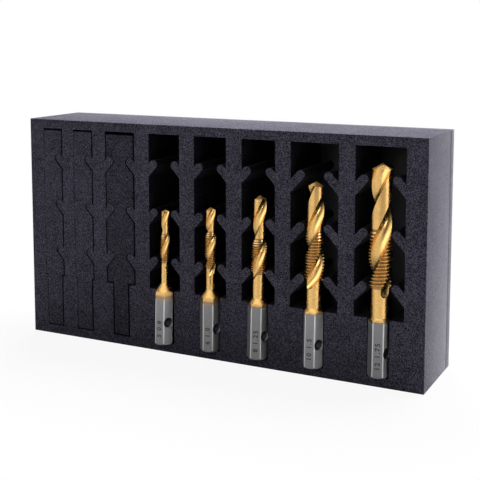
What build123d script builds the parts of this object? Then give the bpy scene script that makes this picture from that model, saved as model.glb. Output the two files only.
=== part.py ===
from build123d import *
import os
from math import cos, radians, sin, tan
from typing import NamedTuple

# A foam drawer insert with pockets for eight drill taps. It stands on its long edge, with the
# pockets open towards -Y. Lengths are in millimetres and angles in degrees. The origin is the
# middle of the face that it stands on, +X runs along the row of pockets and +Z is up.

# Foam insert: a layer with pockets cut right through it, glued to a plain layer
pocket_layer_depth = 41.1
film_thickness = 0.15
base_layer_depth = 6.35
left_margin = 9.4
right_margin = 10.75
top_margin = 5.2
bottom_margin = 5.0

# Pockets: a wide upper part for a tool's body, and a narrow slot below it for the shank
small_pocket_width = 13.2
medium_pocket_width = 19.4
large_pocket_width = 26.3
small_pocket_gauge = 3.0
head_room = 8.5
slot_overrun = 0.7
slot_give = 0.35

# Foam fingers that hold the tool's body, in pairs down the walls of each pocket
finger_rows = 3
finger_spacing = 27.0
top_finger_drop = 16.8
finger_thickness = 4.7
finger_rise = 47.5
finger_clearance = 0.3

# Plugs: the foam that the cut leaves in a pocket until someone pulls it out
plug_float = 0.3

# Drill taps: hexagon shank, shoulder, neck, thread and drill, ground from one piece of steel
shank_flats = 9.525
shank_length = 29.0
shank_end_chamfer = 1.1
shank_seat_gap = 0.3
shoulder_angle = 35.0
neck_length = 16.5
dimple_height = 12.7
dimple_diameter = 5.6
dimple_depth = 1.6
point_angle = 118.0

# Metric thread: its depth and crest as shares of the pitch, and the turns of its tapered lead
thread_depth_share = 0.6134
thread_crest_share = 0.125
thread_half_angle = 30.0
lead_turns = 4

# Two round-bottomed spiral flutes, sized by the drill's diameter
flute_count = 2
flute_radius_share = 0.42
flute_offset_share = 0.57
flute_runout = 5.0


class Pocket(NamedTuple):
    """A pocket: its width, the largest tool that its fingers clear and the web on its right."""

    width: float
    gauge: float
    web: float


class Plug(NamedTuple):
    """A plug: the kerf all round it, and how far it has settled left and down, and sunk."""

    kerf: float
    shift: float
    recess: float


class DrillTap(NamedTuple):
    """A drill tap: its own sizes, then how it is turned and lies in its pocket."""

    thread_diameter: float
    pitch: float
    neck_diameter: float
    thread_length: float
    length: float
    flute_lead: float
    flute_turn: float
    shank_turn: float
    proud: float
    lean: float


m5 = DrillTap(
    thread_diameter=5.0,
    pitch=0.8,
    neck_diameter=3.5,
    thread_length=16.0,
    length=75.0,
    flute_lead=33.0,
    flute_turn=144.0,
    shank_turn=0.0,
    proud=1.7,
    lean=2.4,
)
m6 = DrillTap(
    thread_diameter=6.0,
    pitch=1.0,
    neck_diameter=4.6,
    thread_length=20.0,
    length=78.5,
    flute_lead=32.0,
    flute_turn=112.0,
    shank_turn=14.0,
    proud=0.6,
    lean=1.2,
)
m8 = DrillTap(
    thread_diameter=8.0,
    pitch=1.25,
    neck_diameter=6.0,
    thread_length=18.75,
    length=87.0,
    flute_lead=46.0,
    flute_turn=14.0,
    shank_turn=14.0,
    proud=1.0,
    lean=2.5,
)
m10 = DrillTap(
    thread_diameter=10.0,
    pitch=1.5,
    neck_diameter=7.6,
    thread_length=25.5,
    length=96.5,
    flute_lead=55.0,
    flute_turn=61.0,
    shank_turn=1.0,
    proud=0.8,
    lean=2.2,
)
m12 = DrillTap(
    thread_diameter=12.0,
    pitch=1.75,
    neck_diameter=8.7,
    thread_length=29.75,
    length=108.0,
    flute_lead=70.0,
    flute_turn=137.0,
    shank_turn=13.0,
    proud=-0.8,
    lean=1.2,
)
drill_taps = {
    "drill_tap_m5": m5,
    "drill_tap_m6": m6,
    "drill_tap_m8": m8,
    "drill_tap_m10": m10,
    "drill_tap_m12": m12,
}
plugs = {
    "pocket_plug_1": Plug(kerf=0.6, shift=0.3, recess=0.0),
    "pocket_plug_2": Plug(kerf=0.6, shift=0.3, recess=0.0),
    "pocket_plug_3": Plug(kerf=0.9, shift=0.5, recess=0.5),
}
pockets = [
    Pocket(width=small_pocket_width, gauge=small_pocket_gauge, web=7.8),
    Pocket(width=small_pocket_width, gauge=small_pocket_gauge, web=8.5),
    Pocket(width=medium_pocket_width, gauge=m8.thread_diameter, web=9.3),
    Pocket(width=medium_pocket_width, gauge=m8.thread_diameter, web=9.1),
    Pocket(width=medium_pocket_width, gauge=m8.thread_diameter, web=9.2),
    Pocket(width=medium_pocket_width, gauge=m8.thread_diameter, web=8.65),
    Pocket(width=large_pocket_width, gauge=m10.thread_diameter, web=8.7),
    Pocket(width=large_pocket_width, gauge=m12.thread_diameter, web=right_margin),
]

# Sizes that follow from those above
insert_length = left_margin + sum(pocket.width + pocket.web for pocket in pockets)
insert_depth = pocket_layer_depth + film_thickness + base_layer_depth
shank_seat_z = bottom_margin + shank_seat_gap
step_z = shank_seat_z + shank_length + slot_overrun
pocket_top_z = shank_seat_z + max(tap.length for tap in drill_taps.values()) + head_room
insert_height = pocket_top_z + top_margin
top_finger_z = pocket_top_z - top_finger_drop
finger_radius = finger_thickness / 2
shank_corners = shank_flats / cos(radians(30))
neck_end = shank_length + neck_length

front_y = -insert_depth / 2
front = Plane(origin=(0, front_y, 0), x_dir=(1, 0, 0), z_dir=(0, -1, 0))
film_face = front.offset(-pocket_layer_depth)
base_face = film_face.offset(-film_thickness)

pocket_centres = []
pocket_left = left_margin - insert_length / 2
for pocket in pockets:
    pocket_centres.append(pocket_left + pocket.width / 2)
    pocket_left += pocket.width + pocket.web


def draw_sheet():
    """Draw the insert's full rectangle in the current sketch."""
    with Locations((0, insert_height / 2)):
        Rectangle(insert_length, insert_height)


def draw_pocket(pocket, centre, slot_width):
    """Draw a pocket in the current sketch: two rectangles, less the fingers on both walls."""
    with Locations((centre, step_z)):
        Rectangle(pocket.width, pocket_top_z - step_z, align=(Align.CENTER, Align.MIN))
        Rectangle(slot_width, step_z - bottom_margin, align=(Align.CENTER, Align.MAX))
    tip_centre = pocket.gauge / 2 + finger_clearance + finger_radius
    root_centre = pocket.width / 2 + finger_thickness
    run = root_centre - tip_centre
    fall = run * tan(radians(finger_rise))
    for row in range(finger_rows):
        tip_z = top_finger_z - row * finger_spacing
        for side in (-1, 1):
            middle = centre + side * (tip_centre + root_centre) / 2
            with Locations((middle, tip_z - fall / 2)):
                SlotCenterToCenter(
                    run / cos(radians(finger_rise)),
                    finger_thickness,
                    rotation=-side * finger_rise,
                    mode=Mode.SUBTRACT,
                )


def make_plug(pocket, centre, plug):
    """The foam inside a pocket's cut, smaller by the kerf and settled in its pocket."""
    face = Plane(
        origin=(-plug.shift, front_y + plug.recess, -plug.shift),
        x_dir=(1, 0, 0),
        z_dir=(0, -1, 0),
    )
    with BuildPart() as body:
        with BuildSketch(face):
            draw_pocket(pocket, centre, shank_corners)
            offset(amount=-plug.kerf, kind=Kind.INTERSECTION, mode=Mode.REPLACE)
        extrude(amount=-(pocket_layer_depth - plug.recess - plug_float))
    return body.part


def thread_outline(tap, drill_radius):
    """Half of the thread's section, one V to a turn, with its tapered lead next to the drill."""
    major = tap.thread_diameter / 2
    depth = tap.pitch * thread_depth_share
    flank = depth * tan(radians(thread_half_angle))
    crest = tap.pitch * thread_crest_share
    turns = int(tap.thread_length / tap.pitch)
    points = []
    for turn in range(turns):
        lead = min(1.0, (turns - turn) / lead_turns)
        tip = drill_radius + (major - drill_radius) * lead
        root = tip - depth
        start = neck_end + turn * tap.pitch
        points += [
            (root, start),
            (tip, start + flank),
            (tip, start + flank + crest),
            (root, start + 2 * flank + crest),
        ]
    return points


def make_drill_tap(tap, centre):
    """A drill tap that stands on the floor of its slot and leans back into its pocket."""
    drill_radius = (tap.thread_diameter - tap.pitch) / 2
    neck_radius = tap.neck_diameter / 2
    corner_radius = shank_corners / 2
    shoulder_end = shank_length + (corner_radius - neck_radius) / tan(radians(shoulder_angle))
    point_start = tap.length - drill_radius / tan(radians(point_angle / 2))
    seat = Plane(
        origin=(centre, front_y - tap.proud, shank_seat_z),
        x_dir=(1, 0, 0),
        z_dir=(0, sin(radians(tap.lean)), cos(radians(tap.lean))),
    )
    side = Plane(origin=seat.origin, x_dir=seat.x_dir, z_dir=-seat.y_dir)
    spin = Axis(seat.origin, seat.z_dir)

    flute_radius = 2 * drill_radius * flute_radius_share
    flute_offset = 2 * drill_radius * flute_offset_share
    flute_start = neck_end - flute_runout
    helix = Helix(tap.flute_lead, tap.length - flute_start, flute_offset)
    flute_paths = []
    for flute in range(flute_count):
        turn = tap.flute_turn + flute * 360 / flute_count
        flute_paths.append(seat.location * Location((0, 0, flute_start), (0, 0, turn)) * helix)

    with BuildPart() as body:
        # Turned blank of the shank, then its six flats, which leave both ends scalloped
        with BuildSketch(side):
            with BuildLine():
                Polyline(
                    (0, 0),
                    (corner_radius - shank_end_chamfer, 0),
                    (corner_radius, shank_end_chamfer),
                    (corner_radius, shank_length),
                    (neck_radius, shoulder_end),
                    (0, shoulder_end),
                    close=True,
                )
            make_face()
        revolve(axis=spin)
        with BuildSketch(seat):
            RegularPolygon(corner_radius, 6, rotation=tap.shank_turn)
        extrude(amount=shoulder_end, mode=Mode.INTERSECT)

        # Dimple for a detent ball, on the flat to the right of the front one
        ball_radius = ((dimple_diameter / 2) ** 2 + dimple_depth**2) / (2 * dimple_depth)
        ball_distance = shank_flats / 2 + ball_radius - dimple_depth
        ball_turn = radians(tap.shank_turn - 30)
        ball_centre = Vector(cos(ball_turn), sin(ball_turn)) * ball_distance
        with Locations(seat.from_local_coords(ball_centre + Vector(0, 0, dimple_height))):
            Sphere(ball_radius, mode=Mode.SUBTRACT)

        # Neck, thread, drill and point
        with BuildSketch(side):
            with BuildLine():
                Polyline(
                    (0, shank_length),
                    (neck_radius, shank_length),
                    (neck_radius, neck_end),
                    *thread_outline(tap, drill_radius),
                    (drill_radius, neck_end + tap.thread_length),
                    (drill_radius, point_start),
                    (0, tap.length),
                    close=True,
                )
            make_face()
        revolve(axis=spin)

        # Spiral flutes, each a round run-out in the neck and a sweep from there past the point
        for path in flute_paths:
            with Locations(path @ 0):
                Sphere(flute_radius, mode=Mode.SUBTRACT)
            with BuildSketch(Plane(origin=path @ 0, z_dir=path % 0)):
                Circle(flute_radius)
            sweep(path=path, is_frenet=True, mode=Mode.SUBTRACT)
    return body.part


os.makedirs("parts", exist_ok=True)

with BuildPart() as pocket_layer:
    with BuildSketch(front):
        draw_sheet()
    extrude(amount=-pocket_layer_depth)
    with BuildSketch(front):
        for number, (pocket, centre) in enumerate(zip(pockets, pocket_centres)):
            give = 0.0 if number < len(plugs) else slot_give
            draw_pocket(pocket, centre, shank_corners + 2 * give)
    extrude(amount=-pocket_layer_depth, mode=Mode.SUBTRACT)
pocket_layer.part.label = "pocket_layer"
export_step(pocket_layer.part, "parts/pocket_layer.step")

with BuildPart() as adhesive_film:
    with BuildSketch(film_face):
        draw_sheet()
    extrude(amount=-film_thickness)
adhesive_film.part.label = "adhesive_film"
export_step(adhesive_film.part, "parts/adhesive_film.step")

with BuildPart() as base_layer:
    with BuildSketch(base_face):
        draw_sheet()
    extrude(amount=-base_layer_depth)
base_layer.part.label = "base_layer"
export_step(base_layer.part, "parts/base_layer.step")

for number, (name, plug) in enumerate(plugs.items()):
    part = make_plug(pockets[number], pocket_centres[number], plug)
    part.label = name
    export_step(part, f"parts/{name}.step")

for number, (name, tap) in enumerate(drill_taps.items(), start=len(plugs)):
    part = make_drill_tap(tap, pocket_centres[number])
    part.label = name
    export_step(part, f"parts/{name}.step")
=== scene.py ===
"""A foam drawer insert with five combined drill taps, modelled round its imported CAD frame."""

from math import atan, ceil, cos, pi, radians, sin, tan
from typing import NamedTuple

import bmesh
import bpy
from mathutils import Matrix, Vector


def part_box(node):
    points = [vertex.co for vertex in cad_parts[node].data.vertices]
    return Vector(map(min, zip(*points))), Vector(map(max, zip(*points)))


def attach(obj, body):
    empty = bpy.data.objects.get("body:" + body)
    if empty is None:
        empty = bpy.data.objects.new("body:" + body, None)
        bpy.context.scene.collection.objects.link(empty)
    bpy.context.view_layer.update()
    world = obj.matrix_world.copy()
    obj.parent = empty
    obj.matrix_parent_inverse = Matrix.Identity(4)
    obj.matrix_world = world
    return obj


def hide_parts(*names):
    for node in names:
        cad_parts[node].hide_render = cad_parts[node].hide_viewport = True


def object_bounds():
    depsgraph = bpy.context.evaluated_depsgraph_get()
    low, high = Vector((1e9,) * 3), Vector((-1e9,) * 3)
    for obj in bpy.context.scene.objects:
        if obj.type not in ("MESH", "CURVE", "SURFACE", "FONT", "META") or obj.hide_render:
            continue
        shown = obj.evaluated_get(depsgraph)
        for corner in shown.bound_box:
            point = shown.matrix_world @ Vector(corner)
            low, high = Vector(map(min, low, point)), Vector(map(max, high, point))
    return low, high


bl_info = {
    "name": "Foam insert with drill taps",
    "version": (1, 0, 0),
    "blender": (4, 5, 0),
    "location": "3D View > Sidebar > Drill Taps",
    "description": "Models a foam drawer insert, its pocket plugs and five drill taps",
    "category": "Object",
}

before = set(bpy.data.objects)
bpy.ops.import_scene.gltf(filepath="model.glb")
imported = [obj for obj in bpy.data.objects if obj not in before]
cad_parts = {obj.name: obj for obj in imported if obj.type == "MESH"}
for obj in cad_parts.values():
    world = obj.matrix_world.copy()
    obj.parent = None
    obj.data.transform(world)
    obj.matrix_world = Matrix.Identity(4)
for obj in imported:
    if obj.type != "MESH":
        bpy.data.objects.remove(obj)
cad_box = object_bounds()
layer_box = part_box("pocket_layer")
base_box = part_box("base_layer")

MM = 0.001
FRONT = layer_box[0].y
POCKET_FLOOR = layer_box[1].y

# Foam insert, as in the CAD
STEP_Z = 35.0 * MM
POCKET_BOTTOM = 5.0 * MM
POCKET_TOP = 121.8 * MM
TOP_FINGER = 105.0 * MM
FINGER_ROWS = 3
FINGER_SPACING = 27.0 * MM
FINGER_RADIUS = 2.35 * MM
FINGER_RISE = radians(47.5)
FINGER_CLEARANCE = 0.3 * MM
SLOT_GIVE = 0.35 * MM
PLUG_FLOAT = 0.3 * MM

# Drill taps, as in the CAD
SHANK_SEAT = 5.3 * MM
SHANK_FLATS = 9.525 * MM
SHANK_CORNERS = SHANK_FLATS / cos(pi / 6)
SHANK_LENGTH = 29.0 * MM
SHANK_CHAMFER = 1.1 * MM
SHOULDER_ANGLE = radians(35)
NECK_END = 45.5 * MM
DIMPLE_HEIGHT = 12.7 * MM
DIMPLE_RADIUS = 2.8 * MM
DIMPLE_DEPTH = 1.6 * MM
POINT_ANGLE = radians(118)
THREAD_DEPTH = 0.6134
THREAD_CREST = 0.125
THREAD_FLANK = radians(30)
LEAD_TURNS = 4
FLUTE_START = 40.5 * MM
FLUTE_RADIUS = 0.42
FLUTE_OFFSET = 0.57

# How the meshes are made. Solids that join overlap a little, so that no faces coincide.
OVERLAP = 0.1 * MM
PLANE_TOLERANCE = 0.02 * MM
MERGE_DISTANCE = 1e-6
SHARP_ANGLE = radians(25)
ROUND_SEGMENTS = 96
THREAD_STEPS = 48
FLUTE_STEP = 1.0 * MM
FLUTE_RUNOUT = 7.0 * MM
FLUTE_START_GAP = 0.4 * MM
NUMBER_RELIEF = 0.015 * MM
NUMBER_SPACING = 1.3
NUMBER_STROKE_PER_HEIGHT = 0.04
NUMBER_SIZE_PER_HEIGHT = 1.37

# Finishes: noise scales are per metre, and the roughness of the point is added to the rest
SHEEN_ROUGHNESS = 0.22
FOAM_SPECULAR = 0.12
STEEL_ROUGHNESS = 0.48
COATING_ROUGHNESS = 0.26
POINT_ROUGHNESS = 0.3
CLOUD_SCALE = 350.0
ALONG_SCALE = 5000.0
AROUND_SCALE = 6000.0
COATING_EDGE = 1.5 * MM
MARKING_SPECKLE = (0.06, 0.055, 0.055)


class Pocket(NamedTuple):
    """A pocket: its centre, its width and the largest tool that its fingers clear."""

    centre: float
    width: float
    gauge: float


class Kerf(NamedTuple):
    """The gap that a cut leaves round a plug: on each side, and below its right-hand fingers."""

    left: float
    right: float
    top: float
    bottom: float
    finger: float


class Plug(NamedTuple):
    """A foam plug: its kerf, almost closed where it has settled, its recess and its tone."""

    kerf: Kerf
    recess: float
    tone: float


class Tap(NamedTuple):
    """A drill tap: its sizes, how it lies in its pocket, its numbers and its coating's fade."""

    diameter: float
    pitch: float
    neck: float
    thread: float
    length: float
    lead: float
    flute_turn: float
    shank_turn: float
    proud: float
    lean: float
    numbers: str
    fade: float

    @property
    def drill(self):
        """Radius of the drill."""
        return (self.diameter - self.pitch) / 2

    @property
    def root(self):
        """Radius at the thread's root."""
        return self.diameter / 2 - self.pitch * THREAD_DEPTH

    @property
    def turns(self):
        """Whole turns of the thread."""
        return int(self.thread / self.pitch)

    @property
    def thread_end(self):
        """Height at which the thread ends."""
        return NECK_END + self.thread

    @property
    def point_start(self):
        """Height at which the drill's point starts."""
        return self.length - self.drill / tan(POINT_ANGLE / 2)


POCKETS = [
    Pocket(-103.0 * MM, 13.2 * MM, 3.0 * MM),
    Pocket(-82.0 * MM, 13.2 * MM, 3.0 * MM),
    Pocket(-57.2 * MM, 19.4 * MM, 8.0 * MM),
    Pocket(-28.5 * MM, 19.4 * MM, 8.0 * MM),
    Pocket(0.0 * MM, 19.4 * MM, 8.0 * MM),
    Pocket(28.6 * MM, 19.4 * MM, 8.0 * MM),
    Pocket(60.1 * MM, 26.3 * MM, 10.0 * MM),
    Pocket(95.1 * MM, 26.3 * MM, 12.0 * MM),
]
NO_KERF = Kerf(0.0, 0.0, 0.0, 0.0, 0.0)
NARROW_KERF = Kerf(0.06 * MM, 0.9 * MM, 1.1 * MM, 0.7 * MM, 0.8 * MM)
WIDE_KERF = Kerf(0.3 * MM, 1.2 * MM, 1.7 * MM, 0.7 * MM, 1.1 * MM)
PLUGS = {
    "pocket_plug_1": Plug(NARROW_KERF, 0.0, 0.95),
    "pocket_plug_2": Plug(NARROW_KERF, 0.0, 0.95),
    "pocket_plug_3": Plug(WIDE_KERF, 0.4 * MM, 0.72),
}


def tap_sizes(diameter, pitch, neck, thread, length, lead, turns, proud, lean, numbers, fade):
    """A Tap from sizes in millimetres and turns in degrees."""
    return Tap(
        diameter * MM,
        pitch * MM,
        neck * MM,
        thread * MM,
        length * MM,
        lead * MM,
        radians(turns[0]),
        radians(turns[1]),
        proud * MM,
        radians(lean),
        numbers,
        fade * MM,
    )


TAPS = {
    "m5": tap_sizes(5.0, 0.8, 3.5, 16.0, 75.0, 33.0, (144, 0), 1.7, 2.4, "5 0.8", 5.0),
    "m6": tap_sizes(6.0, 1.0, 4.6, 20.0, 78.5, 32.0, (112, 14), 0.6, 1.2, "6 1.0", 4.0),
    "m8": tap_sizes(8.0, 1.25, 6.0, 18.75, 87.0, 46.0, (14, 14), 1.0, 2.5, "8 1.25", 1.6),
    "m10": tap_sizes(10.0, 1.5, 7.6, 25.5, 96.5, 55.0, (61, 1), 0.8, 2.2, "10 1.5", 1.0),
    "m12": tap_sizes(12.0, 1.75, 8.7, 29.75, 108.0, 70.0, (137, 13), -0.8, 1.2, "12 1.75", 1.0),
}


# Shader nodes
class Socket:
    """A shader output whose arithmetic adds Math nodes."""

    def __init__(self, shader, output):
        self.shader = shader
        self.output = output

    def __add__(self, other):
        return self.shader.math("ADD", self, other)

    __radd__ = __add__

    def __sub__(self, other):
        return self.shader.math("SUBTRACT", self, other)

    def __rsub__(self, other):
        return self.shader.math("SUBTRACT", other, self)

    def __mul__(self, other):
        return self.shader.math("MULTIPLY", self, other)

    __rmul__ = __mul__


class Shader:
    """A node tree and the one method that adds a node to it."""

    def __init__(self, owner):
        owner.use_nodes = True
        self.owner = owner
        self.tree = owner.node_tree
        self.tree.nodes.clear()

    def node(self, kind, settings, values, output=0):
        """Add a node, set its settings, then give its sockets their values or links."""
        node = self.tree.nodes.new("ShaderNode" + kind)
        for name, setting in settings.items():
            if name == "stops":
                self.set_stops(node.color_ramp.elements, setting)
            else:
                setattr(node, name, setting)
        for name, value in values.items():
            if isinstance(value, Socket):
                self.tree.links.new(value.output, node.inputs[name])
            else:
                node.inputs[name].default_value = value
        return Socket(self, node.outputs[output]) if node.outputs else node

    @staticmethod
    def set_stops(elements, stops):
        """Give a colour ramp its stops."""
        for place, _ in stops[2:]:
            elements.new(place)
        for element, (place, colour) in zip(elements, stops):
            element.position = place
            element.color = colour

    def math(self, operation, *values):
        """A Math node on sockets and numbers."""
        return self.node("Math", {"operation": operation}, dict(enumerate(values)))

    def mix(self, factor, first, second):
        """A mix of two colours."""
        values = {0: factor, 6: first, 7: second}
        return self.node("Mix", {"data_type": "RGBA"}, values, output=2)

    def remap(self, value, low, high, new_low, new_high):
        """A value moved smoothly from one range to another."""
        values = dict(enumerate((value, low, high, new_low, new_high)))
        return self.node("MapRange", {"interpolation_type": "SMOOTHSTEP"}, values)

    def place(self, location=(0, 0, 0), rotation=(0, 0, 0), scale=(1, 1, 1)):
        """Object coordinates, brought into a piece's own frame and stretched."""
        point = self.node("TexCoord", {}, {}, output="Object")
        settings = {"vector_type": "TEXTURE"}
        values = {"Vector": point, "Location": location, "Rotation": rotation, "Scale": scale}
        return self.node("Mapping", settings, values)

    def noise(self, point, scale, detail=2.0, roughness=0.5):
        """A noise between 0 and 1."""
        values = {"Vector": point, "Scale": scale, "Detail": detail, "Roughness": roughness}
        return self.node("TexNoise", {}, values)

    def surface(self, shader):
        """End the tree with its output node."""
        output = "OutputWorld" if isinstance(self.owner, bpy.types.World) else "OutputMaterial"
        self.node(output, {}, {"Surface": shader})
        return self.owner


def new_shader(name):
    """A shader on a new material."""
    return Shader(bpy.data.materials.new(name))


def cell_colours(settings, tone):
    """The foam's dark and pale colours at a tone."""
    cells = (settings.dark_cell, settings.pale_cell)
    return [(*[part * tone for part in cell], 1) for cell in cells]


def sheen(settings, tone):
    """The sheen that the foam and its film share."""
    return {
        "Sheen Weight": settings.sheen * tone,
        "Sheen Roughness": SHEEN_ROUGHNESS,
        "Sheen Tint": (*settings.sheen_tint, 1),
    }


def foam_material(name, settings, offset, tone):
    """Closed-cell foam: cells of many greys, a bump of their rims and a soft sheen."""
    shader = new_shader(name)
    point = shader.place(location=offset)
    cells = 1 / settings.cell_size
    values = {"Vector": point, "Scale": cells}
    rims = shader.node("TexVoronoi", {}, values, output="Distance")
    tint = shader.node("TexVoronoi", {}, values, output="Color")
    grey = shader.node("SeparateColor", {}, {"Color": tint})
    drift = shader.noise(point, 90.0, detail=3.0)
    grain = shader.noise(point, cells * 2.3, detail=2.0)
    level = grey * 0.6 + rims * 0.35 + drift * 0.2 + grain * 0.3
    level = shader.remap(level, 0.55, 1.15, 0.0, 1.0)
    values = {
        "Height": rims * 0.7 + grain * 0.5,
        "Strength": settings.cell_bump,
        "Distance": settings.cell_size * 0.4,
    }
    normal = shader.node("Bump", {}, values)
    values = {
        "Base Color": shader.mix(level, *cell_colours(settings, tone)),
        "Roughness": 0.8,
        "Specular IOR Level": FOAM_SPECULAR * tone,
        "Normal": normal,
        **sheen(settings, tone),
    }
    return shader.surface(shader.node("BsdfPrincipled", {}, values))


def film_material(settings):
    """Black adhesive film, seen at the pockets' floors and as a line between the foam layers."""
    shader = new_shader("adhesive_film")
    streaks = shader.noise(shader.place(scale=(1, 1, 0.2)), 400.0)
    values = {
        # The film's colour is partly its own black and partly painted shade on the pocket floors:
        # the foam's colours at the low tone of the cut walls.
        "Base Color": shader.mix(streaks, *cell_colours(settings, settings.pocket_shade_tone)),
        "Roughness": shader.remap(streaks, 0.0, 1.0, 0.5, 0.7),
        **sheen(settings, settings.pocket_shade_tone),
    }
    return shader.surface(shader.node("BsdfPrincipled", {}, values))


def shank_colour(shader, tap, point, radius, grain, settings):
    """Bare ground steel, with painted shade in the dimple and a painted highlight on the corners.
    """
    steel = shader.mix(grain, (*settings.dark_steel, 1), (*settings.steel, 1))
    turn = tap.shank_turn - pi / 6
    # Painted shade: the detent dimple is filled with a near-black colour.
    dimple = (cos(turn) * SHANK_FLATS / 2, sin(turn) * SHANK_FLATS / 2, DIMPLE_HEIGHT)
    values = {0: point, 1: dimple}
    reach = shader.node("VectorMath", {"operation": "DISTANCE"}, values, output="Value")
    beside = shader.remap(reach, DIMPLE_RADIUS * 0.86, DIMPLE_RADIUS * 1.02, 0.0, 1.0)
    steel = shader.mix(beside, (*settings.dimple, 1), steel)
    # Painted highlight: a light band along each corner of the hexagon.
    corner = SHANK_CORNERS / 2
    highlit = shader.remap(radius, corner - 0.26 * MM, corner - 0.12 * MM, 0.0, 1.0)
    return shader.mix(highlit, steel, (*settings.corner_highlight, 1))


def thread_root_shade(shader, tap, height, radius):
    """How much painted shade darkens the thread: the most at its root, and none near its crest."""
    end, root = tap.thread_end, tap.root
    above_neck = shader.remap(height, NECK_END - 0.5 * MM, NECK_END, 0.0, 1.0)
    below_end = shader.remap(height, end, end + 0.5 * MM, 1.0, 0.0)
    outside = shader.remap(radius, root - 0.3 * MM, root - 0.1 * MM, 0.0, 1.0)
    near_crest = shader.remap(radius, root, root + tap.pitch * THREAD_DEPTH * 0.8, 0.0, 1.0)
    return above_neck * below_end * outside * (1 - near_crest)


def coated_steel_material(name, tap, seat, settings):
    """Ground steel whose gold coating starts at the shoulder and fades over the shank's end."""
    shader = new_shader(f"coated_steel_{name}")
    own_frame = {"location": seat, "rotation": (-tap.lean, 0, 0)}
    point = shader.place(**own_frame)
    height = shader.node("SeparateXYZ", {}, {"Vector": point}, output="Z")
    flat = shader.node("VectorMath", {"operation": "MULTIPLY"}, {0: point, 1: (1, 1, 0)})
    radius = shader.node("VectorMath", {"operation": "LENGTH"}, {0: flat}, output="Value")
    cloud = shader.noise(point, CLOUD_SCALE, detail=3.0)
    stretched = shader.place(**own_frame, scale=(1, 1, 14))
    along = shader.noise(stretched, ALONG_SCALE, detail=4.0, roughness=0.6)
    flattened = shader.place(**own_frame, scale=(8, 8, 1))
    around = shader.noise(flattened, AROUND_SCALE, detail=4.0, roughness=0.6)

    edge = height + (cloud - 0.5) * COATING_EDGE
    fade_start, fade_end = SHANK_LENGTH - tap.fade, SHANK_LENGTH + 0.3 * MM
    coating = shader.remap(edge, fade_start, fade_end, 0.0, 1.0)
    stops = [(0.0, (0, 0, 0, 1)), (0.55, (1, 1, 1, 1)), (1.0, (0, 0, 0, 1))]
    stain = shader.node("ValToRGB", {"stops": stops}, {"Fac": coating})

    steel = shank_colour(shader, tap, point, radius, along, settings)
    gold = shader.mix(around, (*settings.deep_gold, 1), (*settings.gold, 1))
    root_shade = thread_root_shade(shader, tap, height, radius)
    # Painted shade in the thread's grooves, in the heat tint's brown.
    gold = shader.mix(root_shade * 0.75, gold, (*settings.heat_tint_and_shade, 1))
    metal = shader.mix(coating, steel, gold)

    lines = shader.mix(coating, along, around)
    values = {"Height": lines, "Strength": 0.04, "Distance": 0.02 * MM}
    normal = shader.node("Bump", {}, values)
    smoothing = COATING_ROUGHNESS - STEEL_ROUGHNESS
    finish = shader.math("MULTIPLY_ADD", coating, smoothing, STEEL_ROUGHNESS)
    blemish = shader.remap(cloud, 0.35, 0.75, 0.0, 0.07)
    low, high = tap.point_start - 0.1 * MM, tap.point_start + 0.1 * MM
    values = {
        "Base Color": shader.mix(stain * 0.7, metal, (*settings.heat_tint_and_shade, 1)),
        "Metallic": 1.0,
        "Roughness": blemish + finish + shader.remap(height, low, high, 0.0, POINT_ROUGHNESS),
        "Normal": normal,
    }
    return shader.surface(shader.node("BsdfPrincipled", {}, values))


def marking_material(settings):
    """The dark oxide of a laser-marked number."""
    shader = new_shader("laser_marking")
    speckle = shader.noise(shader.place(), 5000.0, detail=3.0)
    colour = shader.mix(speckle, (*settings.marking, 1), (*MARKING_SPECKLE, 1))
    values = {
        "Base Color": colour,
        "Metallic": 0.2,
        "Roughness": shader.remap(speckle, 0.2, 0.8, 0.5, 0.75),
    }
    return shader.surface(shader.node("BsdfPrincipled", {}, values))


# Modelling
def deselect_all():
    """Leave edit mode and select nothing."""
    if bpy.context.mode != "OBJECT":
        bpy.ops.object.mode_set(mode="OBJECT")
    bpy.ops.object.select_all(action="DESELECT")


def activate(piece):
    """Select one object alone."""
    deselect_all()
    piece.select_set(True)
    bpy.context.view_layer.objects.active = piece
    return piece


def edit(piece):
    """Open one object in edit mode."""
    activate(piece)
    bpy.ops.object.mode_set(mode="EDIT")


def close(piece):
    """Leave edit mode with merged points and outward faces."""
    bpy.ops.mesh.select_all(action="SELECT")
    bpy.ops.mesh.remove_doubles(threshold=MERGE_DISTANCE)
    bpy.ops.mesh.normals_make_consistent(inside=False)
    bpy.ops.object.mode_set(mode="OBJECT")
    return piece


def settle(piece, matrix):
    """Move a piece's mesh, so that its object stays at the origin."""
    activate(piece)
    piece.matrix_world = matrix @ piece.matrix_world
    bpy.ops.object.transform_apply(location=True, rotation=True, scale=True)
    return piece


def copy_piece(piece):
    """A copy with its own mesh."""
    activate(piece)
    bpy.ops.object.duplicate()
    return bpy.context.object


def join(pieces):
    """Several objects as one."""
    activate(pieces[0])
    for piece in pieces[1:]:
        piece.select_set(True)
    if len(pieces) > 1:
        bpy.ops.object.join()
    return bpy.context.object


def combine(piece, other, operation):
    """A boolean of two closed meshes, applied. This solver gives the same shape at each run."""
    activate(piece)
    modifier = piece.modifiers.new(operation.title(), "BOOLEAN")
    modifier.operation = operation
    modifier.solver = "MANIFOLD"
    modifier.object = other
    bpy.ops.object.modifier_apply(modifier=modifier.name)
    bpy.data.objects.remove(other)
    if not piece.data.polygons:
        raise RuntimeError(f"nothing is left of {piece.name} after {operation}")
    return piece


def add_box(low, high):
    """A cuboid between two corners."""
    deselect_all()
    low, high = Vector(low), Vector(high)
    bpy.ops.mesh.primitive_cube_add(size=1, location=(low + high) / 2, scale=high - low)
    bpy.ops.object.transform_apply()
    return bpy.context.object


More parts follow.
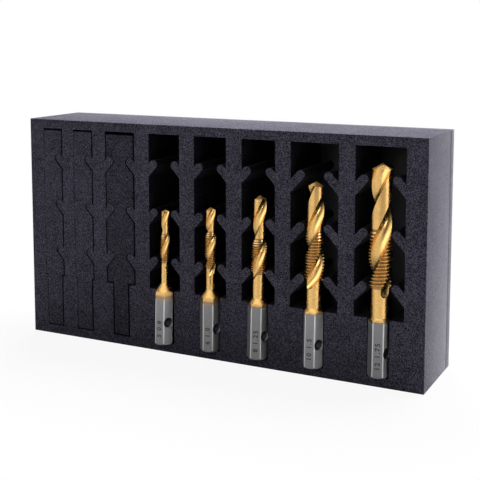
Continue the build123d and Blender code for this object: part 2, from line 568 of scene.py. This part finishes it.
def add_turned(profile, segments, seam=0.0):
    """A solid turned about Z: a disc extruded and resized from each radius to the next."""
    deselect_all()
    radius, height = profile[0]
    bpy.ops.mesh.primitive_circle_add(
        vertices=segments,
        radius=radius,
        fill_type="NGON",
        location=(0, 0, height),
        rotation=(0, 0, seam),
    )
    bpy.ops.object.transform_apply()
    piece = bpy.context.object
    edit(piece)
    bpy.ops.mesh.select_all(action="SELECT")
    for next_radius, next_height in profile[1:]:
        rise = (0, 0, next_height - height)
        bpy.ops.mesh.extrude_region_move(TRANSFORM_OT_translate={"value": rise})
        share = next_radius / radius
        if share > 0:
            bpy.ops.transform.resize(value=(share, share, 1), center_override=(0, 0, next_height))
        else:
            bpy.ops.mesh.merge(type="CENTER")
        radius, height = next_radius, next_height
    return close(piece)


def soften(piece, width, wanted, segments=2):
    """Round the sharp edges that pass a test."""
    edit(piece)
    bpy.ops.mesh.select_all(action="DESELECT")
    mesh = bmesh.from_edit_mesh(piece.data)
    for line in mesh.edges:
        sharp = len(line.link_faces) == 2 and line.calc_face_angle() > SHARP_ANGLE
        line.select = sharp and wanted(line)
    mesh.select_flush_mode()
    bmesh.update_edit_mesh(piece.data)
    bpy.ops.mesh.bevel(offset=width, segments=segments, clamp_overlap=False)
    return close(piece)


def finish_piece(piece, name, body, material, nodes=(), angle=30):
    """Name a piece, shade it, and tie it to its body and the nodes it stands for."""
    activate(piece)
    bpy.ops.object.shade_smooth_by_angle(angle=radians(angle))
    piece.name = name
    piece.data.name = name
    piece.data.materials.clear()
    piece.data.materials.append(material)
    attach(piece, body)
    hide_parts(*nodes)
    return piece


# Foam
def add_finger(run, radius, depth):
    """A foam finger's bar along +X, round at both ends, from a cylinder with one half moved."""
    deselect_all()
    bpy.ops.mesh.primitive_cylinder_add(
        vertices=32, radius=radius, depth=depth, rotation=(pi / 2, pi / 32, 0)
    )
    bpy.ops.object.transform_apply()
    piece = bpy.context.object
    edit(piece)
    bpy.ops.mesh.select_all(action="DESELECT")
    mesh = bmesh.from_edit_mesh(piece.data)
    for point in mesh.verts:
        point.select = point.co.x > 0
    mesh.select_flush_mode()
    bmesh.update_edit_mesh(piece.data)
    bpy.ops.transform.translate(value=(run, 0, 0))
    return close(piece)


def add_pocket(pocket, slot_width, kerf, front, back):
    """The foam that fills a pocket, smaller by the kerf: two boxes less the fingers' bars."""
    middle = pocket.centre
    body, stem = (
        add_box((middle - half + kerf.left, front, low), (middle + half - kerf.right, back, high))
        for half, low, high in (
            (pocket.width / 2, STEP_Z + kerf.bottom, POCKET_TOP - kerf.top),
            (slot_width / 2, POCKET_BOTTOM + kerf.bottom, STEP_Z + 2 * MM),
        )
    )
    combine(body, stem, "UNION")
    tip = pocket.gauge / 2 + FINGER_CLEARANCE + FINGER_RADIUS
    root = pocket.width / 2 + 2 * FINGER_RADIUS
    run = (root - tip) / cos(FINGER_RISE)
    fingers = []
    for side, turn, gap in ((1, FINGER_RISE, kerf.finger), (-1, pi - FINGER_RISE, kerf.left)):
        finger = add_finger(run, FINGER_RADIUS + gap / 2, back - front + 4 * MM)
        matrix = Matrix.Rotation(turn, 4, "Y") @ Matrix.Translation((0, 0, -side * gap / 2))
        settle(finger, matrix)
        for row in range(FINGER_ROWS):
            height = TOP_FINGER - row * FINGER_SPACING
            place = (middle + side * tip, (front + back) / 2, height)
            fingers.append(settle(copy_piece(finger), Matrix.Translation(place)))
        bpy.data.objects.remove(finger)
    return combine(body, join(fingers), "DIFFERENCE")


def in_plane(line, axis, place):
    """Whether an edge lies in the plane at a place along an axis."""
    return all(abs(point.co[axis] - place) < PLANE_TOLERANCE for point in line.verts)


def is_outer(line, box):
    """Whether an edge is one of the insert's own four that run back from its front."""
    return all(
        any(in_plane(line, axis, corner[axis]) for corner in box) for axis in (0, 2)
    )


def paint_pocket_shade(piece, material, box):
    """Give the faces that the cut made, deeper than the front edge, a darker material of painted
    shade.
    """
    piece.data.materials.append(material)
    for face in piece.data.polygons:
        place = face.center
        inside = all(box[0][axis] + MM < place[axis] < box[1][axis] - MM for axis in (0, 2))
        if inside and place.y > box[0].y + 0.4 * MM and abs(face.normal.y) < 0.5:
            face.material_index = 1


def make_layers(settings):
    """The pocket layer and the base layer."""
    material = foam_material("foam", settings, (0, 0, 0), 1.0)
    # The cut walls take the foam at a low tone: painted shade inside the pockets.
    walls = foam_material("foam_cut_walls", settings, (0, 0, 0), settings.pocket_shade_tone)
    layer = add_box(*layer_box)
    for number, pocket in enumerate(POCKETS):
        give = 0.0 if number < len(PLUGS) else SLOT_GIVE
        slot_width = SHANK_CORNERS + 2 * give
        cutter = add_pocket(pocket, slot_width, NO_KERF, FRONT - MM, POCKET_FLOOR + MM)
        combine(layer, cutter, "DIFFERENCE")
    rounding = settings.edge_rounding
    soften(layer, rounding, lambda line: in_plane(line, 1, FRONT) or is_outer(line, layer_box))
    finish_piece(layer, "pocket_layer_foam", "insert", material, ["pocket_layer"])
    paint_pocket_shade(layer, walls, layer_box)
    base = add_box(*base_box)
    back = base_box[1].y
    soften(base, rounding, lambda line: in_plane(line, 1, back) or is_outer(line, base_box))
    finish_piece(base, "base_layer_foam", "insert", material, ["base_layer"])
    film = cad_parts["adhesive_film"]
    film.data.materials.clear()
    film.data.materials.append(film_material(settings))


def make_plugs(settings):
    """The three foam plugs that still fill their pockets."""
    for number, (name, plug) in enumerate(PLUGS.items()):
        front = FRONT + plug.recess
        back = POCKET_FLOOR - PLUG_FLOAT
        piece = add_pocket(POCKETS[number], SHANK_CORNERS, plug.kerf, front, back)
        soften(piece, settings.edge_rounding, lambda line: line.verts[0].co.y < front + MM)
        shift = (0.013 * number, 0.02, 0.007)
        material = foam_material(f"foam_{name}", settings, shift, plug.tone)
        # The plug's cut walls take the same painted shade as the pockets' walls.
        walls = foam_material(f"foam_{name}_painted_shade_walls", settings, shift, settings.pocket_shade_tone)
        finish_piece(piece, f"{name}_foam", name, material, [name])
        paint_pocket_shade(piece, walls, layer_box)


# Drill taps
def is_upright(line):
    """Whether an edge runs up a prism."""
    first, last = line.verts
    return abs(first.co.z - last.co.z) > MM


def add_shank(tap, settings):
    """The hexagon shank: a prism cut to a turned blank with two cones, then its dimple."""
    corner = SHANK_CORNERS / 2
    shoulder_end = SHANK_LENGTH + (corner - tap.neck / 2) / tan(SHOULDER_ANGLE)
    prism = [(corner, -MM), (corner, shoulder_end + MM)]
    shank = add_turned(prism, 6, tap.shank_turn + pi / 6)
    soften(shank, settings.shank_rounding, is_upright)
    past_corner = corner + 0.02 * MM
    blank = [
        (corner - SHANK_CHAMFER, 0),
        (past_corner, SHANK_CHAMFER),
        (past_corner, SHANK_LENGTH),
        (tap.neck / 2 - OVERLAP, shoulder_end + OVERLAP / tan(SHOULDER_ANGLE)),
    ]
    combine(shank, add_turned(blank, ROUND_SEGMENTS), "INTERSECT")
    radius = (DIMPLE_RADIUS**2 + DIMPLE_DEPTH**2) / (2 * DIMPLE_DEPTH)
    turn = tap.shank_turn - pi / 6
    distance = SHANK_FLATS / 2 + radius - DIMPLE_DEPTH
    deselect_all()
    bpy.ops.mesh.primitive_uv_sphere_add(
        segments=64,
        ring_count=40,
        radius=radius,
        location=(distance * cos(turn), distance * sin(turn), DIMPLE_HEIGHT),
    )
    bpy.ops.object.transform_apply()
    return combine(shank, bpy.context.object, "DIFFERENCE")


def add_thread(tap):
    """The thread's ridge: a flat-crested section, screwed up the core and closed at its ends."""
    major, root = tap.diameter / 2, tap.root
    flank = (major - root) * tan(THREAD_FLANK)
    crest = tap.pitch * THREAD_CREST
    inner = root - OVERLAP
    foot = OVERLAP * tan(THREAD_FLANK)
    section = [
        (inner, -foot),
        (major, flank),
        (major, flank + crest),
        (inner, 2 * flank + crest + foot),
    ]
    deselect_all()
    bpy.ops.mesh.primitive_circle_add(vertices=len(section), radius=MM)
    ridge = bpy.context.object
    for point, (x, z) in zip(ridge.data.vertices, section):
        point.co = (x, 0, NECK_END + z)
    turns = tap.turns - 0.5
    screw = ridge.modifiers.new("Thread", "SCREW")
    screw.angle = 2 * pi * turns / ceil(turns)
    screw.screw_offset = tap.pitch * turns / ceil(turns)
    screw.iterations = ceil(turns)
    screw.steps = THREAD_STEPS
    screw.render_steps = THREAD_STEPS
    screw.use_smooth_shade = False
    activate(ridge)
    bpy.ops.object.modifier_apply(modifier=screw.name)
    edit(ridge)
    bpy.ops.mesh.select_all(action="SELECT")
    bpy.ops.mesh.remove_doubles(threshold=MERGE_DISTANCE)
    bpy.ops.mesh.select_all(action="DESELECT")
    bpy.ops.mesh.select_non_manifold(extend=False, use_boundary=True)
    bpy.ops.mesh.edge_face_add()
    close(ridge)
    envelope = [
        (root - OVERLAP / 2, NECK_END - 0.2 * MM),
        (major + OVERLAP, NECK_END + 0.8 * tap.pitch),
        (major + OVERLAP, NECK_END + (tap.turns - LEAD_TURNS) * tap.pitch),
        (tap.drill - OVERLAP, tap.thread_end + 0.5 * tap.pitch),
    ]
    return combine(ridge, add_turned(envelope, ROUND_SEGMENTS), "INTERSECT")


def add_flute(tap, turn):
    """A round-bottomed flute's cutter: a section extruded step by step up its spiral."""
    radius, offset = 2 * tap.drill * FLUTE_RADIUS, 2 * tap.drill * FLUTE_OFFSET
    widening = 1 / cos(atan(2 * pi * offset / tap.lead))
    lift = tap.neck / 2 - (offset - radius) + FLUTE_START_GAP
    twist = 2 * pi * FLUTE_STEP / tap.lead
    deselect_all()
    bpy.ops.mesh.primitive_circle_add(vertices=40, radius=radius, fill_type="NGON")
    cutter = bpy.context.object
    cutter.scale = (1, widening, 1)
    bpy.ops.object.transform_apply()
    settle(cutter, Matrix.Translation((offset + lift, 0, FLUTE_START)))
    settle(cutter, Matrix.Rotation(turn, 4, "Z"))
    edit(cutter)
    bpy.ops.mesh.select_all(action="SELECT")
    out, height = lift, FLUTE_START
    while height < tap.length + FLUTE_STEP:
        height += FLUTE_STEP
        left = max(0.0, 1 - (height - FLUTE_START) / FLUTE_RUNOUT)
        new_out = lift * left**2
        move = Vector((cos(turn), sin(turn), 0)) * (new_out - out) + Vector((0, 0, FLUTE_STEP))
        bpy.ops.mesh.extrude_region_move(TRANSFORM_OT_translate={"value": move})
        bpy.ops.transform.rotate(value=-twist, orient_axis="Z", center_override=(0, 0, height))
        out, turn = new_out, turn + twist
    return close(cutter)


def add_body(tap):
    """The neck, thread, drill and point, with both flutes cut."""
    profile = [
        (tap.neck / 2, SHANK_LENGTH - 3 * MM),
        (tap.neck / 2, NECK_END - 0.3 * MM),
        (tap.root, NECK_END),
        (tap.root, tap.thread_end),
        (tap.drill, tap.thread_end),
        (tap.drill, tap.point_start),
        (0, tap.length),
    ]
    body = add_turned(profile, ROUND_SEGMENTS)
    combine(body, add_thread(tap), "UNION")
    for turn in (tap.flute_turn, tap.flute_turn + pi):
        combine(body, add_flute(tap, turn), "DIFFERENCE")
    return body


def add_numbers(tap, settings):
    """The tap's diameter and pitch, up the middle of the front flat."""
    deselect_all()
    bpy.ops.object.text_add()
    text = bpy.context.object
    text.data.body = tap.numbers
    text.data.size = settings.number_height * NUMBER_SIZE_PER_HEIGHT
    text.data.space_character = NUMBER_SPACING
    text.data.offset = settings.number_height * NUMBER_STROKE_PER_HEIGHT
    text.data.extrude = NUMBER_RELIEF
    text.data.resolution_u = 4
    text.data.align_x = "LEFT"
    text.data.align_y = "CENTER"
    bpy.ops.object.convert(target="MESH")
    edit(bpy.context.object)
    text = close(bpy.context.object)
    turn = tap.shank_turn - pi / 2
    outward = Vector((cos(turn), sin(turn), 0))
    up = Vector((0, 0, 1))
    matrix = Matrix((up, outward.cross(up), outward)).transposed().to_4x4()
    place = outward * (SHANK_FLATS / 2) + up * settings.number_start
    return settle(text, Matrix.Translation(place) @ matrix)


def make_taps(settings):
    """The five drill taps, each standing in its slot and leaning back into its pocket."""
    marking = marking_material(settings)
    for number, (name, tap) in enumerate(TAPS.items(), start=len(PLUGS)):
        seat = Vector((POCKETS[number].centre, FRONT - tap.proud, SHANK_SEAT))
        lean = Matrix.Translation(seat) @ Matrix.Rotation(-tap.lean, 4, "X")
        piece = combine(add_shank(tap, settings), add_body(tap), "UNION")
        settle(piece, lean)
        node = f"drill_tap_{name}"
        metal = coated_steel_material(name, tap, seat, settings)
        finish_piece(piece, f"{node}_ground", node, metal, [node], angle=32)
        numbers = settle(add_numbers(tap, settings), lean)
        finish_piece(numbers, f"{node}_numbers", node, marking)


# Stage: the way to each softbox in reflections, its edges as cosines and its strength
SOFTBOXES = [
    ((-0.6, -0.8, 0.15), 0.76, 0.93, 2.1),
    ((0.99, -0.12, 0.12), 0.94, 0.98, 6.5),
    ((-1.0, 0.0, 0.1), 0.85, 0.97, 0.8),
    ((0.0, -0.1, 1.0), 0.6, 0.9, 1.2),
]


def world_material(settings):
    """White to the camera, softboxes in reflections and a dim room to everything else."""
    world = bpy.data.worlds.new("studio")
    bpy.context.scene.world = world
    shader = Shader(world)
    camera = shader.node("LightPath", {}, {}, output="Is Camera Ray")
    glossy = shader.node("LightPath", {}, {}, output="Is Glossy Ray")
    way = shader.node("TexCoord", {}, {}, output="Generated")
    boxes = settings.reflection
    for aim, low, high, strength in SOFTBOXES:
        values = {0: way, 1: Vector(aim).normalized()}
        near = shader.node("VectorMath", {"operation": "DOT_PRODUCT"}, values, output="Value")
        boxes = boxes + shader.remap(near, low, high, 0.0, strength)
    light = glossy * boxes + (1 - glossy) * settings.fill
    values = {"Color": (1, 1, 1, 1), "Strength": camera + (1 - camera) * light}
    shader.surface(shader.node("Background", {}, values))


def floor_material(settings):
    """A floor that is nearly white to the camera, partly so in metal, and keeps a soft shadow."""
    shader = new_shader("pale_floor")
    camera = shader.node("LightPath", {}, {}, output="Is Camera Ray")
    glossy = shader.node("LightPath", {}, {}, output="Is Glossy Ray")
    values = {"Base Color": (*settings.floor, 1), "Roughness": 0.9}
    lit = shader.node("BsdfPrincipled", {}, values)
    white = shader.node("Emission", {}, {"Color": (1, 1, 1, 1), "Strength": 1.0})
    spot = shader.node("TexCoord", {}, {}, output="Object")
    far = shader.node("VectorMath", {"operation": "LENGTH"}, {0: spot}, output="Value")
    whiteness = shader.remap(far, 0.15, 0.7, settings.whiteness, 1.0)
    values = {"Fac": (camera + glossy * settings.mirrored) * whiteness, 1: lit, 2: white}
    return shader.surface(shader.node("MixShader", {}, values))


def add_light(name, place, target, size, power):
    """A soft area light that points at a target."""
    deselect_all()
    place, target = Vector(place), Vector(target)
    aim = (target - place).to_track_quat("-Z", "Y").to_euler()
    bpy.ops.object.light_add(type="AREA", location=place, rotation=aim)
    light = bpy.context.object
    light.name = name
    light.data.shape = "RECTANGLE"
    light.data.size, light.data.size_y = size
    light.data.energy = power


def make_stage(settings):
    """The floor, the studio light and the camera."""
    deselect_all()
    bpy.ops.mesh.primitive_grid_add(x_subdivisions=8, y_subdivisions=8, size=12)
    floor = bpy.context.object
    floor.name = "floor"
    floor.data.materials.append(floor_material(settings))
    world_material(settings)
    middle = (cad_box[0] + cad_box[1]) / 2
    add_light("top_light", (0.1, 0.5, 1.1), middle, (1.2, 0.6), settings.top_light)
    add_light("side_light", (2.2, 0.1, 0.6), middle, (1.0, 1.0), settings.side_light)
    add_light("front_light", (0.1, -1.2, 0.7), middle, (0.8, 0.8), settings.front_light)
    azimuth, elevation = settings.camera_azimuth, settings.camera_elevation
    back = Vector(
        (sin(azimuth) * cos(elevation), -cos(azimuth) * cos(elevation), sin(elevation))
    )
    deselect_all()
    bpy.ops.object.camera_add(
        location=settings.camera_place,
        rotation=(-back).to_track_quat("-Z", "Y").to_euler(),
    )
    camera = bpy.context.object
    camera.data.lens = settings.camera_lens
    camera.data.sensor_width = 36
    camera.data.shift_y = settings.camera_shift
    bpy.context.scene.camera = camera
    bpy.context.scene.view_settings.view_transform = "Standard"


def colour_property(name, description, default):
    """A colour that a user may change."""
    return bpy.props.FloatVectorProperty(
        name=name, description=description, default=default, subtype="COLOR", size=3, min=0, max=1
    )


def length_property(name, description, default):
    """A length in metres that a user may change."""
    return bpy.props.FloatProperty(
        name=name, description=description, default=default, unit="LENGTH", precision=5
    )


def share_property(name, description, default):
    """A plain number that a user may change."""
    return bpy.props.FloatProperty(name=name, description=description, default=default, min=0)


class FoamSettings(bpy.types.PropertyGroup):
    """Sizes and colours of the foam."""

    edge_rounding: length_property("Edge rounding", "Width of the foam's rounded edges", 0.35 * MM)
    cell_size: length_property("Cell size", "Width of one cell of the foam", 0.3 * MM)
    cell_bump: share_property("Cell bump", "How strongly the cells stand out", 0.6)
    sheen: share_property("Sheen", "How much the cell walls brighten at a low angle", 0.5)
    sheen_tint: colour_property("Sheen tint", "Colour of the sheen", (0.85, 0.84, 0.9))
    dark_cell: colour_property("Dark cell", "Colour of the deep cells", (0.008, 0.007, 0.012))
    pale_cell: colour_property("Pale cell", "Colour of the cell rims", (0.145, 0.137, 0.19))
    # Painted shade: the low tone of the cut walls and the film, which darkens the pockets.
    pocket_shade_tone: share_property("Wall tone", "Brightness of the cut walls beside the skin", 0.2)


class TapSettings(bpy.types.PropertyGroup):
    """Sizes and colours of the drill taps."""

    shank_rounding: length_property("Shank rounding", "Width of the shank's worn edges", 0.28 * MM)
    number_height: length_property("Number height", "Height of the marked numbers", 2.6 * MM)
    number_start: length_property("Number start", "Where the numbers start on the shank", 4.4 * MM)
    gold: colour_property("Gold", "Light tone of the coating", (0.86, 0.54, 0.19))
    deep_gold: colour_property("Deep gold", "Deep tone of the coating", (0.74, 0.45, 0.15))
    # Also the colour of the painted shade in the thread's roots.
    heat_tint_and_shade: colour_property("Heat tint", "Stain where the coating ends", (0.2, 0.11, 0.06))
    steel: colour_property("Steel", "Light tone of the ground shank", (0.29, 0.29, 0.295))
    dark_steel: colour_property("Dark steel", "Dark tone of the ground shank", (0.175, 0.175, 0.18))
    # Painted shade: the near-black colour in the detent dimple.
    dimple: colour_property("Dimple", "Steel inside the detent dimple", (0.03, 0.03, 0.033))
    # Painted highlight along the hexagon's corners.
    corner_highlight: colour_property("Worn steel", "Bare steel of the worn corners", (0.6, 0.6, 0.61))
    marking: colour_property("Marking", "Colour of the numbers", (0.01, 0.009, 0.009))


class StageSettings(bpy.types.PropertyGroup):
    """The floor, the light and the camera."""

    floor: colour_property("Floor", "Colour of the floor", (0.42, 0.42, 0.42))
    whiteness: share_property("Whiteness", "How white the floor is to the camera", 0.92)
    mirrored: share_property("Mirrored", "How much of the white floor metal mirrors", 0.12)
    fill: share_property("Fill", "Strength of the light from all round", 0.12)
    reflection: share_property("Reflection", "Strength of the room in reflections", 0.12)
    top_light: share_property("Top light", "Power of the light above, in watts", 44.0)
    side_light: share_property("Side light", "Power of the light on the right, in watts", 15.0)
    front_light: share_property("Front light", "Power of the light in front, in watts", 2.5)
    camera_azimuth: bpy.props.FloatProperty(
        name="Camera azimuth",
        description="Angle of the camera to the right of the front",
        default=radians(26.471),
        subtype="ANGLE",
    )
    camera_elevation: bpy.props.FloatProperty(
        name="Camera elevation",
        description="Angle of the camera above the horizon",
        default=radians(6.387),
        subtype="ANGLE",
    )
    camera_place: bpy.props.FloatVectorProperty(
        name="Camera place",
        description="Where the camera stands",
        default=(0.24597, -0.48153, 0.17825),
        subtype="TRANSLATION",
        unit="LENGTH",
    )
    camera_lens: share_property("Camera lens", "Focal length in millimetres", 73.71)
    camera_shift: bpy.props.FloatProperty(
        name="Camera shift",
        description="How far the lens is shifted down, as a share of the picture",
        default=-0.208,
    )


class OBJECT_OT_foam_layers(bpy.types.Operator):
    """Model the insert's two foam layers and the film between them"""

    bl_idname = "object.foam_layers"
    bl_label = "Foam Layers"

    def execute(self, context):
        make_layers(context.scene.foam_settings)
        return {"FINISHED"}


class OBJECT_OT_pocket_plugs(bpy.types.Operator):
    """Model the foam plugs of the three unused pockets"""

    bl_idname = "object.pocket_plugs"
    bl_label = "Pocket Plugs"

    def execute(self, context):
        make_plugs(context.scene.foam_settings)
        return {"FINISHED"}


class OBJECT_OT_drill_taps(bpy.types.Operator):
    """Model the five drill taps and their numbers"""

    bl_idname = "object.drill_taps"
    bl_label = "Drill Taps"

    def execute(self, context):
        make_taps(context.scene.tap_settings)
        return {"FINISHED"}


class OBJECT_OT_studio(bpy.types.Operator):
    """Set up the floor, the light and the camera"""

    bl_idname = "object.studio"
    bl_label = "Studio"

    def execute(self, context):
        make_stage(context.scene.stage_settings)
        return {"FINISHED"}


class VIEW3D_PT_drill_taps(bpy.types.Panel):
    """Lists what this add-on makes and its settings"""

    bl_label = "Foam Insert with Drill Taps"
    bl_idname = "VIEW3D_PT_drill_taps"
    bl_space_type = "VIEW_3D"
    bl_region_type = "UI"
    bl_category = "Drill Taps"

    def draw(self, context):
        scene = context.scene
        for operator in OPERATORS:
            self.layout.operator(operator.bl_idname)
        for settings in (scene.foam_settings, scene.tap_settings, scene.stage_settings):
            box = self.layout.box()
            for name in settings.__annotations__:
                box.prop(settings, name)


SETTINGS = {
    "foam_settings": FoamSettings,
    "tap_settings": TapSettings,
    "stage_settings": StageSettings,
}
OPERATORS = [OBJECT_OT_foam_layers, OBJECT_OT_pocket_plugs, OBJECT_OT_drill_taps, OBJECT_OT_studio]
CLASSES = [*SETTINGS.values(), *OPERATORS, VIEW3D_PT_drill_taps]


def register():
    """Register the classes and the scene's settings."""
    for cls in CLASSES:
        bpy.utils.register_class(cls)
    for name, cls in SETTINGS.items():
        setattr(bpy.types.Scene, name, bpy.props.PointerProperty(type=cls))


def unregister():
    """Undo register."""
    for name in SETTINGS:
        delattr(bpy.types.Scene, name)
    for cls in reversed(CLASSES):
        bpy.utils.unregister_class(cls)


def main():
    """Make every piece and the stage."""
    register()
    bpy.ops.object.foam_layers()
    bpy.ops.object.pocket_plugs()
    bpy.ops.object.drill_taps()
    bpy.ops.object.studio()
    deselect_all()


if __name__ == "__main__":
    main()
